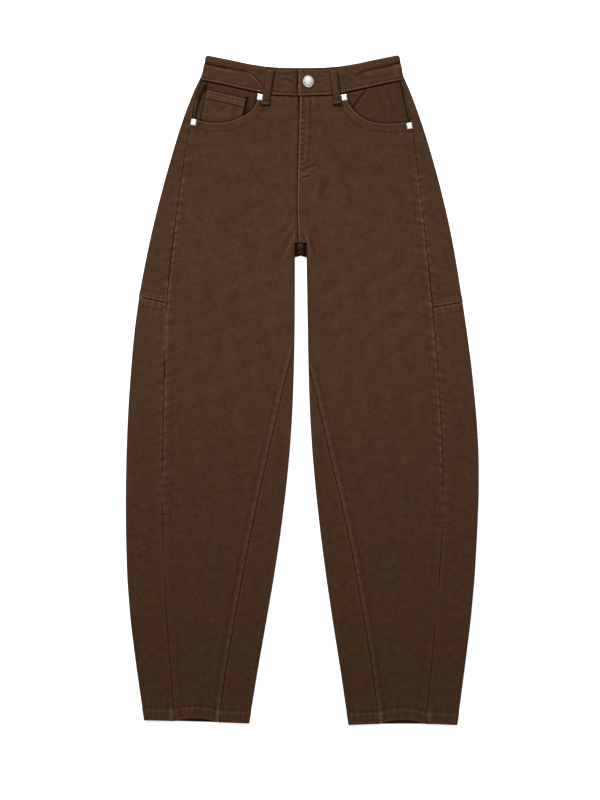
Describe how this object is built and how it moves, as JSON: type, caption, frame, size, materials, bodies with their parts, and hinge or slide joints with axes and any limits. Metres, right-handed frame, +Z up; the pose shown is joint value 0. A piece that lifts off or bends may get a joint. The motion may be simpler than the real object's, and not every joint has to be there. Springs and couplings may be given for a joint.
{
  "type": "barrel leg trousers",
  "caption": "Barrel leg trousers laid flat, with a shaped waistband, belt loops, curved front pockets, a coin pocket and legs that bow out at the knee and narrow to the hem.",
  "frame": {"origin": "middle of the garment's outline, on the surface that its back lies on", "axes": "+Y from the hems to the waistband, +X towards the wearer's left leg, +Z up, away from the surface"},
  "size_m": [0.5429, 1.0294, 0.0118],
  "materials": {
    "cloth": "dark brown cotton twill, matt, with tonal topstitching",
    "button_metal": "satin silver, domed, with a rolled rim",
    "rivet_metal": "bright silver, slightly uneven"
  },
  "bodies": {
    "root": {"front_right": "cloth", "front_left": "cloth", "back_upper_right": "cloth", "back_upper_left": "cloth", "back_lower_right": "cloth", "back_lower_left": "cloth", "pocket_facing_right": "cloth", "pocket_facing_left": "cloth", "coin_pocket": "cloth", "waistband": "cloth", "belt_loop_front_right": "cloth", "belt_loop_front_left": "cloth", "belt_loop_back_right": "cloth", "belt_loop_back_centre": "cloth", "belt_loop_back_left": "cloth", "button": "button_metal", "rivet_right_inner": "rivet_metal", "rivet_left_inner": "rivet_metal", "rivet_right_outer": "rivet_metal", "rivet_left_outer": "rivet_metal"}
  },
  "joints": []
}
